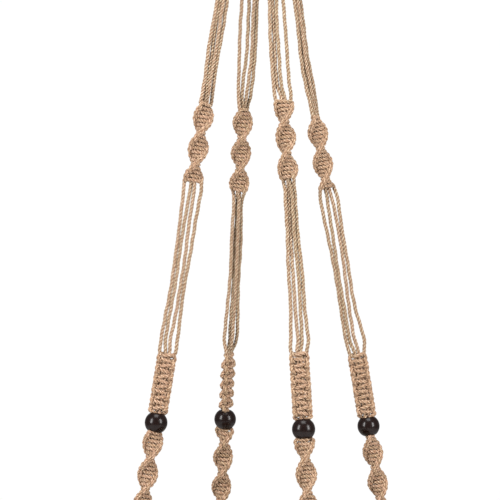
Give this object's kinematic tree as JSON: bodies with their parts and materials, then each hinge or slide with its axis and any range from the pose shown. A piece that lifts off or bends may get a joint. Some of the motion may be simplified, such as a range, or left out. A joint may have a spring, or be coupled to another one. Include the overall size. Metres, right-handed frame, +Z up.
{
  "type": "hanging planter",
  "caption": "Hanging macrame planter: steel ring, knotted jute legs with dark wooden beads, a knotted cradle round a tapered pot, and a tassel below.",
  "frame": {"origin": "where a hook bears on the inside of the ring, at the ring's middle", "axes": "+Z up along the hanging line, ring in the XZ plane, legs at 45 degrees to X and Y, front towards -Y"},
  "size_m": [0.231, 0.231, 1.2329],
  "materials": {
    "jute_cord": "twisted three-ply jute cord, dry and slightly hairy",
    "steel": "nickel plated steel wire",
    "dark_wood": "dark stained and lacquered wood",
    "glazed_ceramic": "opaque white glazed ceramic"
  },
  "bodies": {
    "ring": {"ring": "steel"},
    "hanger": {"back_cradle_knot": "jute_cord", "back_left_bead_strands": "jute_cord", "back_left_lower_spiral": "jute_cord", "back_left_middle_strands": "jute_cord", "back_left_rim_strands": "jute_cord", "back_left_square_sinnet": "jute_cord", "back_left_upper_spiral": "jute_cord", "back_left_upper_strands": "jute_cord", "back_lower_strands": "jute_cord", "back_right_bead_strands": "jute_cord", "back_right_lower_spiral": "jute_cord", "back_right_middle_strands": "jute_cord", "back_right_rim_strands": "jute_cord", "back_right_square_sinnet": "jute_cord", "back_right_upper_spiral": "jute_cord", "back_right_upper_strands": "jute_cord", "bottom_wrap": "jute_cord", "cord_loops": "jute_cord", "front_cradle_knot": "jute_cord", "front_left_bead_strands": "jute_cord", "front_left_lower_spiral": "jute_cord", "front_left_middle_strands": "jute_cord", "front_left_rim_strands": "jute_cord", "front_left_square_sinnet": "jute_cord", "front_left_upper_spiral": "jute_cord", "front_left_upper_strands": "jute_cord", "front_lower_strands": "jute_cord", "front_right_bead_strands": "jute_cord", "front_right_lower_spiral": "jute_cord", "front_right_middle_strands": "jute_cord", "front_right_rim_strands": "jute_cord", "front_right_square_sinnet": "jute_cord", "front_right_upper_spiral": "jute_cord", "front_right_upper_strands": "jute_cord", "left_cradle_knot": "jute_cord", "left_lower_strands": "jute_cord", "right_cradle_knot": "jute_cord", "right_lower_strands": "jute_cord", "top_wrap": "jute_cord"},
    "back_left_bead": {"back_left_bead": "dark_wood"},
    "back_right_bead": {"back_right_bead": "dark_wood"},
    "front_left_bead": {"front_left_bead": "dark_wood"},
    "front_right_bead": {"front_right_bead": "dark_wood"},
    "pot": {"pot": "glazed_ceramic"},
    "tassel": {"tassel": "jute_cord"}
  },
  "joints": [
    {"name": "hanger_swing", "type": "hinge", "parent": "ring", "child": "hanger", "pos_m": [0, 0, -0.04222], "axis": [1, 0, 0], "range_deg": [-60, 60]},
    {"name": "front_left_bead_spin", "type": "hinge", "parent": "hanger", "child": "front_left_bead", "pos_m": [-0.07201, -0.07201, -0.66289], "axis": [0.1205, 0.1205, 0.9854], "continuous": true},
    {"name": "front_right_bead_spin", "type": "hinge", "parent": "hanger", "child": "front_right_bead", "pos_m": [0.07228, -0.07228, -0.66511], "axis": [-0.1205, 0.1205, 0.9854], "continuous": true},
    {"name": "back_left_bead_spin", "type": "hinge", "parent": "hanger", "child": "back_left_bead", "pos_m": [-0.07255, 0.07255, -0.66732], "axis": [0.1205, -0.1205, 0.9854], "continuous": true},
    {"name": "back_right_bead_spin", "type": "hinge", "parent": "hanger", "child": "back_right_bead", "pos_m": [0.07288, 0.07288, -0.67003], "axis": [-0.1205, -0.1205, 0.9854], "continuous": true},
    {"name": "pot_turn", "type": "hinge", "parent": "hanger", "child": "pot", "pos_m": [0, 0, -0.95186], "axis": [0, 0, 1], "continuous": true},
    {"name": "tassel_swing", "type": "hinge", "parent": "hanger", "child": "tassel", "pos_m": [0, 0, -1.03644], "axis": [1, 0, 0], "range_deg": [-30, 30]}
  ]
}
